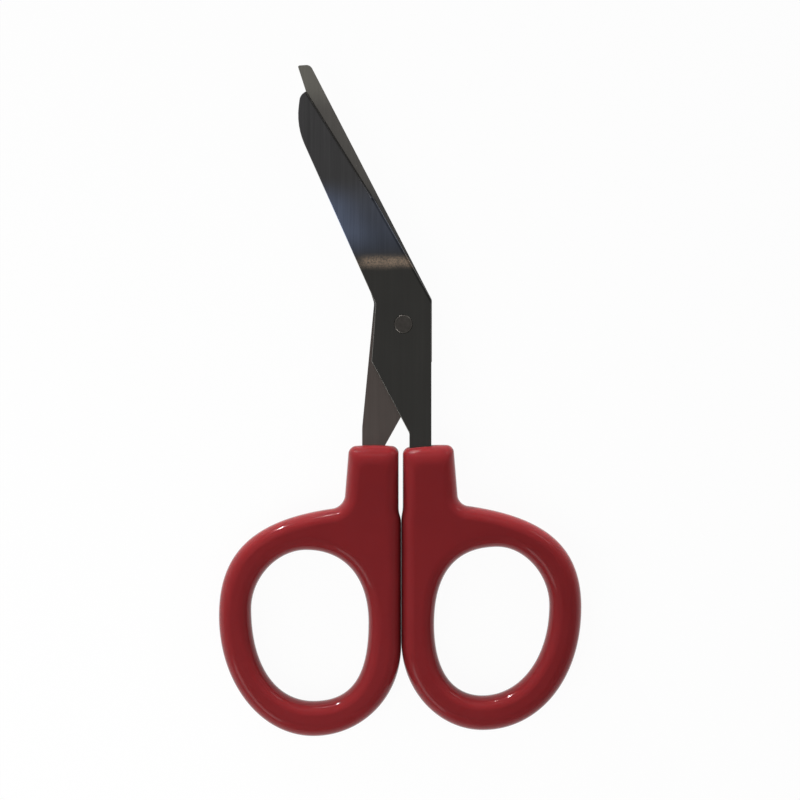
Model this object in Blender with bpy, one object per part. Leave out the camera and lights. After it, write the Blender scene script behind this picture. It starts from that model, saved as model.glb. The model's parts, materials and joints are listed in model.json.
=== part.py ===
"""Small angled bandage scissors, closed and lying flat.

Two stamped steel blades turn on one peened rivet, and each blade's tang is
moulded into its own red plastic handle. Lengths are in metres. +Z is up, +Y
runs from the finger rings to the blade tips, and the table is at z = 0.
The outlines are drawn about the rivet's axis. A handle's outline is drawn in
(u, y), where u is the distance outward from the rivet's axis on its own side.
"""
from dataclasses import dataclass
from math import ceil, cos, pi, radians, sin, tan

import bmesh
import bpy
from mathutils import Matrix, Vector
from mathutils.geometry import interpolate_bezier

# Blades: stamped plate
BLADE_THICKNESS = 0.0013
BLADE_GAP = 0.0001
RIM_BREAK = 0.00015
SHANK_WIDTH = 0.0119
OUTER_BEND_Y = 0.0051
BEND_RADIUS = 0.0010
SHOULDER_Y = -0.0078
SHOULDER_RADIUS = 0.0006
TAPER_START_Y = 0.0123
TAPER_DEPTH = 0.0004
EDGE_GRIND_WIDTH = 0.00055
EDGE_GRIND_START = 0.0004
EDGE_LAND = 0.0002
HOLLOW_START_Y = 0.0140
HOLLOW_WIDTH = 0.0060
HOLLOW_DEPTH = 0.00012
HOLLOW_STEPS = 8

# Front blade: round belly, its shank goes down into the right handle
FRONT_SHANK_INSET = 0.0001
FRONT_INNER_BEND_INSET = 0.0002
FRONT_INNER_BEND_Y = 0.0042
FRONT_HEEL_ANGLE = radians(29.7)
FRONT_HEEL_Y = 0.0261
FRONT_EDGE_ANGLE = radians(32.0)
FRONT_TIP_Y = 0.0486
FRONT_TIP_RADIUS = 0.0003
FRONT_BROW_DROP = 0.0008
FRONT_BROW_WIDTH = 0.00185
FRONT_BROW_RADIUS = 0.0022
FRONT_BELLY_LENGTH = 0.0065
FRONT_BELLY_LEAN = radians(7.0)
FRONT_BELLY_RADIUS = 0.0150
FRONT_SHOULDER_FLARE = 0.00065
FRONT_SHOULDER_ANGLE = radians(27.7)

# Rear blade: long blunt tip, its shank goes down into the left handle
REAR_INNER_BEND_FLARE = 0.00015
REAR_INNER_BEND_Y = 0.0044
REAR_INNER_BEND_RADIUS = 0.0025
REAR_SPINE_ANGLE = radians(27.35)
REAR_TIP_REACH = 0.0056
REAR_TIP_WIDTH = 0.00262
REAR_TIP_FALL = 0.0002
REAR_TIP_RADIUS = 0.0014
REAR_TIP_EDGE_RADIUS = 0.0003
REAR_GRIND_END_Y = 0.0150
REAR_TANG_FLARE = 0.00265
REAR_LEAN = radians(5.5)
REAR_LEAN_RADIUS = 0.0100
REAR_SHOULDER_ANGLE = radians(29.2)

# Tangs, and the pockets that the handles are moulded round them with
TANG_WIDTH = 0.0046
TANG_END_Y = -0.0450
TANG_END_RADIUS = 0.0010
ANCHOR_HOLE_RADIUS = 0.0013
ANCHOR_FROM_END = 0.0040
POCKET_CLEARANCE = 0.0001

# Rivet
RIVET_SHANK_RADIUS = 0.0015
RIVET_CLEARANCE = 0.00005
RIVET_FACE_RADIUS = 0.0019
RIVET_FACE_DEPTH = 0.00045
RIVET_FACE_DISH = 0.00012
RIVET_RIM_SHARE = 0.8
RIVET_DISH_SHARE = 0.5
RIVET_FACE_PROUD = 0.00005
RIVET_HEAD_RADIUS = 0.0029
RIVET_HEAD_HEIGHT = 0.0009
RIVET_HEAD_STEPS = 5

# Handles: sizes that both mouldings share
HANDLE_THICKNESS = 0.0075
EDGE_ROUND = 0.0029
HANDLE_GAP = 0.0003
MEET_X = -0.00045
NECK_END_Y = -0.0252
NECK_END_ROUND = 0.0042
NECK_END_ARCH = 0.0003
NECK_CORNER = 0.0014
NECK_END_SPARE = 0.0008
NECK_STEP_LENGTH = 0.0035

# Left handle
LEFT_HOLE_WIDTH = 0.0246
LEFT_HOLE_HEIGHT = 0.0315
LEFT_HOLE_TOP_Y = -0.0471
LEFT_INNER_WALL = 0.0067
LEFT_OUTER_WALL = 0.00645
LEFT_BOTTOM_WALL = 0.0073
LEFT_TOP_WALL = 0.0089
LEFT_NECK_WIDTH = 0.0104
LEFT_NECK_ROOT = 0.0118
LEFT_NECK_STEP = 0.0004
LEFT_CROTCH = 0.0024
LEFT_END_TILT = radians(0.0)

# Right handle
RIGHT_HOLE_WIDTH = 0.0240
RIGHT_HOLE_HEIGHT = 0.0310
RIGHT_HOLE_TOP_Y = -0.04645
RIGHT_INNER_WALL = 0.00675
RIGHT_OUTER_WALL = 0.0066
RIGHT_BOTTOM_WALL = 0.0072
RIGHT_TOP_WALL = 0.00885
RIGHT_NECK_WIDTH = 0.0106
RIGHT_NECK_ROOT = 0.0118
RIGHT_NECK_STEP = 0.0002
RIGHT_CROTCH = 0.0019
RIGHT_END_TILT = radians(3.0)

# How finely the curves are cut into straight pieces
ARC_STEP = radians(6)
TURN_STEPS = 40
CURVE_POINTS = 12
SHORT_CURVE_POINTS = 4
ROUND_LAYERS = 5
TOUCHING = 1e-7
SIDE_SHARE = 0.98

# Places that follow
SHANK_HALF = SHANK_WIDTH / 2
OUTER_BEND = Vector((SHANK_HALF, OUTER_BEND_Y))
FRONT_OUTER_BEND = OUTER_BEND - Vector((FRONT_SHANK_INSET, 0))
FRONT_INNER_BEND = Vector((-SHANK_HALF + FRONT_INNER_BEND_INSET, FRONT_INNER_BEND_Y))
REAR_INNER_BEND = Vector((-SHANK_HALF - REAR_INNER_BEND_FLARE, REAR_INNER_BEND_Y))
REAR_TIP_Y = FRONT_TIP_Y + REAR_TIP_REACH
REAR_TANG_OUT = SHANK_HALF + REAR_TANG_FLARE
FRONT_TANG_MIDDLE = FRONT_OUTER_BEND.x - TANG_WIDTH / 2
REAR_TANG_MIDDLE = -REAR_TANG_OUT + TANG_WIDTH / 2
MID_Z = HANDLE_THICKNESS / 2
FRONT_INNER_Z = MID_Z + BLADE_GAP / 2
REAR_INNER_Z = MID_Z - BLADE_GAP / 2


@dataclass
class Moulding:
    """The sizes of one handle, in (u, y)."""
    side: int
    hole_width: float
    hole_height: float
    hole_top: float
    inner_wall: float
    outer_wall: float
    bottom_wall: float
    top_wall: float
    neck_width: float
    neck_root: float
    neck_step: float
    crotch: float
    end_tilt: float
    # shares of the hole at which it is highest and lowest (of its width, from the inner side)
    # and widest outward and inward (of its height, from the top)
    hole_peaks: tuple
    # fullness of the hole's quarters: outer top, inner top, inner bottom, outer bottom
    hole_fullness: tuple
    # how far the ring is widest below the hole's own widest places, outward and inward
    ring_drop: tuple
    ring_fullness: tuple

    @property
    def inner_u(self):
        return self.side * MEET_X + HANDLE_GAP / 2

    @property
    def hole_inner_u(self):
        return self.inner_u + self.inner_wall

    @property
    def hole_outer_u(self):
        return self.hole_inner_u + self.hole_width

    @property
    def hole_bottom(self):
        return self.hole_top - self.hole_height

    @property
    def neck_inner_u(self):
        return self.inner_u + self.neck_step


LEFT = Moulding(
    side=-1,
    hole_width=LEFT_HOLE_WIDTH,
    hole_height=LEFT_HOLE_HEIGHT,
    hole_top=LEFT_HOLE_TOP_Y,
    inner_wall=LEFT_INNER_WALL,
    outer_wall=LEFT_OUTER_WALL,
    bottom_wall=LEFT_BOTTOM_WALL,
    top_wall=LEFT_TOP_WALL,
    neck_width=LEFT_NECK_WIDTH,
    neck_root=LEFT_NECK_ROOT,
    neck_step=LEFT_NECK_STEP,
    crotch=LEFT_CROTCH,
    end_tilt=LEFT_END_TILT,
    hole_peaks=(0.53, 0.47, 0.39, 0.48),
    hole_fullness=(0.53, 0.62, 0.69, 0.61),
    ring_drop=(0.0014, 0.0050),
    ring_fullness=(0.56, 0.56),
)
RIGHT = Moulding(
    side=1,
    hole_width=RIGHT_HOLE_WIDTH,
    hole_height=RIGHT_HOLE_HEIGHT,
    hole_top=RIGHT_HOLE_TOP_Y,
    inner_wall=RIGHT_INNER_WALL,
    outer_wall=RIGHT_OUTER_WALL,
    bottom_wall=RIGHT_BOTTOM_WALL,
    top_wall=RIGHT_TOP_WALL,
    neck_width=RIGHT_NECK_WIDTH,
    neck_root=RIGHT_NECK_ROOT,
    neck_step=RIGHT_NECK_STEP,
    crotch=RIGHT_CROTCH,
    end_tilt=RIGHT_END_TILT,
    hole_peaks=(0.55, 0.42, 0.39, 0.52),
    hole_fullness=(0.52, 0.66, 0.64, 0.575),
    ring_drop=(0.0005, 0.0035),
    ring_fullness=(0.58, 0.55),
)
# The ring's top runs down to its widest point on a flat curve
RING_TOP_SLOPE = 0.14
RING_TOP_FULLNESS = (0.53, 0.39)
CIRCLE_FULLNESS = 0.56


def remove_everything():
    for old in list(bpy.data.objects):
        bpy.data.objects.remove(old, do_unlink=True)


def make_material(name, colour, roughness, metallic, coat=0.0):
    material = bpy.data.materials.new(name)
    material.use_nodes = True
    shader = material.node_tree.nodes["Principled BSDF"]
    shader.inputs["Base Color"].default_value = (*colour, 1.0)
    shader.inputs["Roughness"].default_value = roughness
    shader.inputs["Metallic"].default_value = metallic
    shader.inputs["Coat Weight"].default_value = coat
    return material


def new_object(name, bm, parent, material=None):
    """An object from a bmesh, with its origin on its parent, an empty on the rivet's axis."""
    bmesh.ops.recalc_face_normals(bm, faces=bm.faces)
    mesh = bpy.data.meshes.new(name)
    bm.to_mesh(mesh)
    bm.free()
    made = bpy.data.objects.new(name, mesh)
    bpy.context.scene.collection.objects.link(made)
    made.parent = parent
    if material:
        mesh.materials.append(material)
    return made


def cut(piece, cutter):
    """Take the cutter away from the piece, and keep it as a wire guide."""
    cutter.hide_render = True
    cutter.display_type = 'WIRE'
    modifier = piece.modifiers.new(cutter.name, 'BOOLEAN')
    modifier.operation = 'DIFFERENCE'
    modifier.solver = 'EXACT'
    modifier.object = cutter


def along(start, angle, height):
    """The point at a height on a line through start that leans left by angle from +Y."""
    return Vector((start.x - tan(angle) * (height - start.y), height))


def rounded(corners):
    """A closed outline from (point, radius) corners: each becomes an arc between its two sides.
    Two arcs that are too long for the side between them both give way."""
    points = [corner for corner, radius in corners]
    sides = [point - points[index - 1] for index, point in enumerate(points)]
    halves = [(pi - side.angle(following)) / 2
              for side, following in zip(sides, sides[1:] + sides[:1])]
    reaches = [radius / tan(half) for (corner, radius), half in zip(corners, halves)]
    room = [SIDE_SHARE * side.length / max(reaches[index - 1] + reaches[index], TOUCHING)
            for index, side in enumerate(sides)]
    outline = []
    for index, corner in enumerate(points):
        following = (index + 1) % len(points)
        reach = reaches[index] * min(1.0, room[index], room[following])
        if reach < TOUCHING:
            outline.append(corner.copy())
            continue
        before = -sides[index].normalized()
        after = sides[following].normalized()
        half = halves[index]
        radius = reach * tan(half)
        centre = corner + (before + after).normalized() * (radius / sin(half))
        start = corner + before * reach - centre
        turn = pi - 2 * half
        if before.x * after.y - before.y * after.x > 0:
            turn = -turn
        steps = max(2, ceil(abs(turn) / ARC_STEP))
        for step in range(steps + 1):
            outline.append(centre + Matrix.Rotation(turn * step / steps, 2) @ start)
    return outline


def grown(outline, distance):
    """A closed clockwise outline moved outward everywhere by the same distance."""
    moved = []
    for index, point in enumerate(outline):
        before = (point - outline[index - 1]).normalized()
        after = (outline[(index + 1) % len(outline)] - point).normalized()
        left = Vector((-before.y - after.y, before.x + after.x)).normalized()
        stretch = max(left.dot(Vector((-before.y, before.x))), 0.5)
        moved.append(point + left * (distance / stretch))
    return moved


def plate(outline, low, high):
    """An outline raised from low to high."""
    bm = bmesh.new()
    base = bm.faces.new([bm.verts.new((p.x, p.y, low)) for p in outline])
    raised = bmesh.ops.extrude_face_region(bm, geom=[base])
    top = [item for item in raised["geom"] if isinstance(item, bmesh.types.BMVert)]
    bmesh.ops.translate(bm, verts=top, vec=(0, 0, high - low))
    return bm


def turned(profile):
    """A solid of revolution about +Z from (radius, z) points that start and end on the axis."""
    bm = bmesh.new()
    line = [bm.verts.new((radius, 0, z)) for radius, z in profile]
    edges = [bm.edges.new(pair) for pair in zip(line, line[1:])]
    bmesh.ops.spin(bm, geom=line + edges, cent=(0, 0, 0), axis=(0, 0, 1), angle=2 * pi,
                   steps=TURN_STEPS, use_merge=True)
    bmesh.ops.remove_doubles(bm, verts=bm.verts, dist=TOUCHING)
    return bm


def prism(section, start, end):
    """A bar from start to end in plan. Its section's points are (to the left of the way, z)."""
    bm = bmesh.new()
    way = (end - start).normalized()
    left = Vector((-way.y, way.x))
    ring = [bm.verts.new((*(start + left * aside), z)) for aside, z in section]
    base = bm.faces.new(ring)
    raised = bmesh.ops.extrude_face_region(bm, geom=[base])
    far = [item for item in raised["geom"] if isinstance(item, bmesh.types.BMVert)]
    bmesh.ops.translate(bm, verts=far, vec=(*(end - start), 0))
    return bm


def on_line(start, end, height):
    """The point at a height on the line through two others."""
    return start.lerp(end, (height - start.y) / (end.y - start.y))


def midway(left_line, right_line, height):
    """The point midway between two lines at a height."""
    return (on_line(*left_line, height) + on_line(*right_line, height)) / 2


def front_places():
    """The front blade's heel and tip, on its cutting edge, and its belly and brow opposite them."""
    heel = along(FRONT_OUTER_BEND, FRONT_HEEL_ANGLE, FRONT_HEEL_Y)
    tip = along(heel, FRONT_EDGE_ANGLE, FRONT_TIP_Y)
    brow = on_line(heel, tip, FRONT_TIP_Y - FRONT_BROW_DROP) - Vector((FRONT_BROW_WIDTH, 0))
    belly = along(brow, -FRONT_BELLY_LEAN, brow.y - FRONT_BELLY_LENGTH)
    return heel, tip, brow, belly


def rear_tip():
    """The left and right corners of the rear blade's blunt tip."""
    right = along(OUTER_BEND, REAR_SPINE_ANGLE, REAR_TIP_Y)
    return right - Vector((REAR_TIP_WIDTH, REAR_TIP_FALL)), right


def front_blade_corners():
    """Clockwise from the tip, looking down."""
    heel, tip, brow, belly = front_places()
    tang_out = FRONT_OUTER_BEND.x
    tang_in = tang_out - TANG_WIDTH
    shoulder = Vector((-SHANK_HALF - FRONT_SHOULDER_FLARE, SHOULDER_Y))
    root = Vector((tang_in, SHOULDER_Y - (tang_in - shoulder.x) / tan(FRONT_SHOULDER_ANGLE)))
    return [
        (tip, FRONT_TIP_RADIUS),
        (heel, 0.0),
        (FRONT_OUTER_BEND, BEND_RADIUS),
        (Vector((tang_out, TANG_END_Y)), TANG_END_RADIUS),
        (Vector((tang_in, TANG_END_Y)), TANG_END_RADIUS),
        (root, BEND_RADIUS),
        (shoulder, SHOULDER_RADIUS),
        (FRONT_INNER_BEND, BEND_RADIUS),
        (belly, FRONT_BELLY_RADIUS),
        (brow, FRONT_BROW_RADIUS),
    ]


def rear_blade_corners():
    """Clockwise from the left corner of the blunt tip, looking down."""
    tip_left, tip_right = rear_tip()
    shoulder = Vector((OUTER_BEND.x, SHOULDER_Y))
    tang_in = -REAR_TANG_OUT + TANG_WIDTH
    root = Vector((tang_in, SHOULDER_Y - (shoulder.x - tang_in) / tan(REAR_SHOULDER_ANGLE)))
    lean_drop = (REAR_TANG_OUT + REAR_INNER_BEND.x) / tan(REAR_LEAN)
    lean_end = Vector((-REAR_TANG_OUT, REAR_INNER_BEND_Y - lean_drop))
    return [
        (tip_left, REAR_TIP_EDGE_RADIUS),
        (tip_right, REAR_TIP_RADIUS),
        (OUTER_BEND, BEND_RADIUS),
        (shoulder, SHOULDER_RADIUS),
        (root, BEND_RADIUS),
        (Vector((tang_in, TANG_END_Y)), TANG_END_RADIUS),
        (Vector((-REAR_TANG_OUT, TANG_END_Y)), TANG_END_RADIUS),
        (lean_end, REAR_LEAN_RADIUS),
        (REAR_INNER_BEND, REAR_INNER_BEND_RADIUS),
    ]


def blade(name, corners, inner_z, up, grind, parent, material):
    """One stamped blade. Its inner face is at inner_z and its outer face is up (1) or down (-1)."""
    outer_z = inner_z + up * BLADE_THICKNESS
    bm = plate(rounded(corners), min(inner_z, outer_z), max(inner_z, outer_z))
    rim = [edge for edge in bm.edges if all(abs(v.co.z - outer_z) < TOUCHING for v in edge.verts)]
    bmesh.ops.bevel(bm, geom=rim, offset=RIM_BREAK, offset_type='OFFSET', segments=2,
                    profile=0.5, affect='EDGES', clamp_overlap=True)
    everything = bm.verts[:] + bm.edges[:] + bm.faces[:]
    bmesh.ops.bisect_plane(bm, geom=everything, plane_co=(0, TAPER_START_Y, 0), plane_no=(0, 1, 0))
    fall = TAPER_DEPTH / (REAR_TIP_Y - TAPER_START_Y)
    for vert in bm.verts:
        if abs(vert.co.z - inner_z) > BLADE_THICKNESS / 2 and vert.co.y > TAPER_START_Y:
            vert.co.z -= up * fall * (vert.co.y - TAPER_START_Y)
    made = new_object(name, bm, parent, material)
    for cutter in grind:
        cut(made, cutter)
    return made


def edge_grind(name, start, end, inner_z, up, parent):
    """The cutter of the bevel along a cutting edge. The blade lies to the left of the way."""
    outer_z = inner_z + up * BLADE_THICKNESS
    land_z = inner_z + up * EDGE_LAND
    over = EDGE_GRIND_WIDTH
    rise = outer_z - land_z
    section = [(EDGE_GRIND_WIDTH + over, outer_z + rise), (-over, land_z - rise), (-over, outer_z + rise)]
    return new_object(name, prism(section, start, end), parent)


def hollow_grind(name, start, end, inner_z, up, parent):
    """The cutter of the shallow hollow in a blade's inner face."""
    section = []
    for step in range(HOLLOW_STEPS + 1):
        share = 2 * step / HOLLOW_STEPS - 1
        section.append((share * HOLLOW_WIDTH / 2, inner_z + up * HOLLOW_DEPTH * (1 - share ** 2)))
    section.append((HOLLOW_WIDTH / 2, inner_z - up * BLADE_THICKNESS))
    section.append((-HOLLOW_WIDTH / 2, inner_z - up * BLADE_THICKNESS))
    return new_object(name, prism(section, start, end), parent)


def post_centre(tang_middle):
    return Vector((tang_middle, TANG_END_Y + ANCHOR_FROM_END))


def round_bar(name, centre, radius, parent):
    """An upright bar right through the handles' thickness and beyond."""
    bm = turned([(0, -MID_Z), (radius, -MID_Z), (radius, 3 * MID_Z), (0, 3 * MID_Z)])
    bmesh.ops.translate(bm, verts=bm.verts, vec=(*centre, 0))
    return new_object(name, bm, parent)


def pocket(name, corners, inner_z, up, tang_middle, parent):
    """The room that a tang takes in its handle, round the post that locks it there."""
    outer_z = inner_z + up * BLADE_THICKNESS
    low = min(inner_z, outer_z) - POCKET_CLEARANCE
    high = max(inner_z, outer_z) + POCKET_CLEARANCE
    room = new_object(name, plate(grown(rounded(corners), POCKET_CLEARANCE), low, high), parent)
    core = round_bar(name + "_post", post_centre(tang_middle),
                     ANCHOR_HOLE_RADIUS - POCKET_CLEARANCE, parent)
    cut(room, core)
    return room


def bezier(start, start_handle, end_handle, end, count=CURVE_POINTS):
    """Points along a curve, without its last one."""
    return [Vector(p) for p in interpolate_bezier(start, start_handle, end_handle, end, count + 1)[:-1]]


def hole_path(h):
    """The finger hole, clockwise from its outermost point: four curves between its extremes."""
    high, low, out_level, in_level = h.hole_peaks
    outer_top, inner_top, inner_bottom, outer_bottom = h.hole_fullness
    top = Vector((h.hole_inner_u + high * h.hole_width, h.hole_top))
    bottom = Vector((h.hole_inner_u + low * h.hole_width, h.hole_bottom))
    outer = Vector((h.hole_outer_u, h.hole_top - out_level * h.hole_height))
    inner = Vector((h.hole_inner_u, h.hole_top - in_level * h.hole_height))
    path = []
    for start, end, fullness, upright in ((outer, bottom, outer_bottom, True),
                                          (bottom, inner, inner_bottom, False),
                                          (inner, top, inner_top, True),
                                          (top, outer, outer_top, False)):
        corner = Vector((start.x, end.y)) if upright else Vector((end.x, start.y))
        path += bezier(start, start.lerp(corner, fullness), end.lerp(corner, fullness), end)
    return path


def side_path(h):
    """The handle's side, clockwise from the neck's outer edge, round the ring, to its inner edge."""
    straight_y = NECK_END_Y - NECK_END_ROUND - NECK_CORNER - NECK_END_SPARE
    neck_outer_end = Vector((h.neck_inner_u + h.neck_width, NECK_END_Y))
    root = Vector((h.inner_u + h.neck_root, h.hole_top + h.top_wall))
    up_neck = (neck_outer_end - root).normalized()
    down_ring = Vector((1, -RING_TOP_SLOPE)).normalized()
    neck_start = root + up_neck * ((straight_y - root.y) / up_neck.y)
    crotch_start = root + up_neck * h.crotch
    crotch_end = root + down_ring * h.crotch
    hole_low = h.hole_inner_u + h.hole_peaks[1] * h.hole_width
    widest = Vector((h.hole_outer_u + h.outer_wall,
                     h.hole_top - h.hole_peaks[2] * h.hole_height - h.ring_drop[0]))
    lowest = Vector((hole_low, h.hole_bottom - h.bottom_wall))
    inmost = Vector((h.inner_u, h.hole_top - h.hole_peaks[3] * h.hole_height - h.ring_drop[1]))
    step_low = Vector((h.inner_u, root.y - NECK_STEP_LENGTH))
    step_high = Vector((h.neck_inner_u, root.y))
    neck_end = Vector((h.neck_inner_u, straight_y))
    span = (widest - crotch_end).length
    out_full, in_full = h.ring_fullness
    few = SHORT_CURVE_POINTS
    path = bezier(neck_start, neck_start.lerp(crotch_start, 1 / 3),
                  neck_start.lerp(crotch_start, 2 / 3), crotch_start, few)
    path += bezier(crotch_start, crotch_start.lerp(root, CIRCLE_FULLNESS),
                   crotch_end.lerp(root, CIRCLE_FULLNESS), crotch_end, few)
    path += bezier(crotch_end, crotch_end + down_ring * (RING_TOP_FULLNESS[0] * span),
                   widest + Vector((0, RING_TOP_FULLNESS[1] * span)), widest)
    path += bezier(widest, widest.lerp(Vector((widest.x, lowest.y)), out_full),
                   lowest.lerp(Vector((widest.x, lowest.y)), out_full), lowest)
    path += bezier(lowest, lowest.lerp(Vector((inmost.x, lowest.y)), in_full),
                   inmost.lerp(Vector((inmost.x, lowest.y)), in_full), inmost)
    path += bezier(inmost, inmost.lerp(step_low, 1 / 3), inmost.lerp(step_low, 2 / 3), step_low, few)
    path += bezier(step_low, step_low.lerp(Vector((step_low.x, step_high.y)), 0.5),
                   step_high.lerp(Vector((step_high.x, step_low.y)), 0.5), step_high, few)
    path += bezier(step_high, step_high.lerp(neck_end, 1 / 3), step_high.lerp(neck_end, 2 / 3),
                   neck_end, few)
    return path + [neck_end]


def inset_path(path, inset, closed):
    """A clockwise path moved to its right by inset. On a hole a negative inset widens it."""
    count = len(path)
    moved = []
    for index, point in enumerate(path):
        before = path[index - 1] if closed or index else point
        after = path[(index + 1) % count] if closed or index < count - 1 else point
        way = (after - before).normalized()
        moved.append(point + Vector((way.y, -way.x)) * inset)
    return moved


def outer_layer(h, path, inset, setback):
    """One closed layer of the handle's outside: its side moved in, and its rounded end set back."""
    side = inset_path(path, inset, closed=False)
    few = SHORT_CURVE_POINTS
    outer_way = (side[0] - side[1]).normalized()
    inner_way = (side[-1] - side[-2]).normalized()
    middle = h.neck_inner_u + h.neck_width / 2

    def end_y(u):
        across = (u - middle) / (h.neck_width / 2)
        return NECK_END_Y - setback + tan(h.end_tilt) * (u - middle) - NECK_END_ARCH * across ** 2

    def on_side(start, way, drop):
        height = end_y(start.x) - drop
        return start + way * ((height - start.y) / way.y)

    inner_low = on_side(side[-1], inner_way, NECK_CORNER)
    inner_corner = on_side(side[-1], inner_way, 0)
    inner_top = Vector((inner_corner.x + NECK_CORNER, end_y(inner_corner.x + NECK_CORNER)))
    outer_low = on_side(side[0], outer_way, NECK_CORNER)
    outer_corner = on_side(side[0], outer_way, 0)
    outer_top = Vector((outer_corner.x - NECK_CORNER, end_y(outer_corner.x - NECK_CORNER)))
    layer = side
    layer += bezier(inner_low, inner_low.lerp(inner_corner, CIRCLE_FULLNESS),
                    inner_top.lerp(inner_corner, CIRCLE_FULLNESS), inner_top, few)
    for step in range(few):
        u = inner_top.x + (outer_top.x - inner_top.x) * step / few
        layer.append(Vector((u, end_y(u))))
    layer += bezier(outer_top, outer_top.lerp(outer_corner, CIRCLE_FULLNESS),
                    outer_low.lerp(outer_corner, CIRCLE_FULLNESS), outer_low, few)
    layer.append(outer_low)
    return layer


def handle(name, h, cutters, parent, material):
    """A ring and neck with rounded sides, built up in layers from the underside to the top."""
    outside = side_path(h)
    hole = hole_path(h)
    bm = bmesh.new()
    loops = []
    for layer in range(-ROUND_LAYERS, ROUND_LAYERS + 1):
        angle = pi / 2 * layer / ROUND_LAYERS
        rise = HANDLE_THICKNESS / 2 * sin(angle)
        fall = 1 - cos(angle)
        inset = EDGE_ROUND * fall
        outer = outer_layer(h, outside, inset, NECK_END_ROUND * fall)
        inner = inset_path(hole, -inset, closed=True)
        loops.append([[bm.verts.new((h.side * p.x, p.y, MID_Z + rise)) for p in points]
                      for points in (outer, inner)])
    for below, above in zip(loops, loops[1:]):
        for low, high in zip(below, above):
            for i in range(len(low)):
                bm.faces.new((low[i - 1], low[i], high[i], high[i - 1]))
    for flat in (loops[0], loops[-1]):
        edges = [bm.edges.get((loop[i - 1], loop[i])) for loop in flat for i in range(len(loop))]
        bmesh.ops.triangle_fill(bm, use_beauty=True, use_dissolve=False, edges=edges)
    made = new_object(name, bm, parent, material)
    for cutter in cutters:
        cut(made, cutter)
    return made


def rivet(parent, material):
    """Its lower head bears on the rear blade and its upper end is peened into the front one."""
    under = REAR_INNER_Z - BLADE_THICKNESS - RIVET_CLEARANCE
    face = FRONT_INNER_Z + BLADE_THICKNESS
    edge = RIVET_HEAD_HEIGHT / 4
    profile = []
    for step in range(RIVET_HEAD_STEPS + 1):
        angle = pi / 2 * step / RIVET_HEAD_STEPS
        crown = (RIVET_HEAD_HEIGHT - edge) * cos(angle)
        profile.append((RIVET_HEAD_RADIUS * sin(angle), under - edge - crown))
    profile += [
        (RIVET_HEAD_RADIUS, under),
        (RIVET_SHANK_RADIUS, under),
        (RIVET_SHANK_RADIUS, face - RIVET_FACE_DEPTH),
        (RIVET_FACE_RADIUS, face),
        (RIVET_FACE_RADIUS - RIVET_FACE_PROUD, face + RIVET_FACE_PROUD),
        (RIVET_FACE_RADIUS * RIVET_RIM_SHARE, face + RIVET_FACE_PROUD),
        (RIVET_FACE_RADIUS * RIVET_DISH_SHARE, face + RIVET_FACE_PROUD - RIVET_FACE_DISH),
        (0, face + RIVET_FACE_PROUD - RIVET_FACE_DISH),
    ]
    return new_object("pivot_rivet", turned(profile), parent, material)


def rivet_bore(name, parent, sunk):
    """The bore for the rivet. In the front blade it opens into a countersink."""
    radius = RIVET_SHANK_RADIUS + RIVET_CLEARANCE
    top = 3 * MID_Z
    profile = [(0, -MID_Z), (radius, -MID_Z)]
    if sunk:
        face = FRONT_INNER_Z + BLADE_THICKNESS
        wide = RIVET_FACE_RADIUS + RIVET_CLEARANCE
        flare = (wide - radius) / RIVET_FACE_DEPTH
        profile += [(radius, face - RIVET_FACE_DEPTH), (wide, face),
                    (wide + flare * (top - face), top)]
    else:
        profile.append((radius, top))
    profile.append((0, top))
    return new_object(name, turned(profile), parent)


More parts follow.
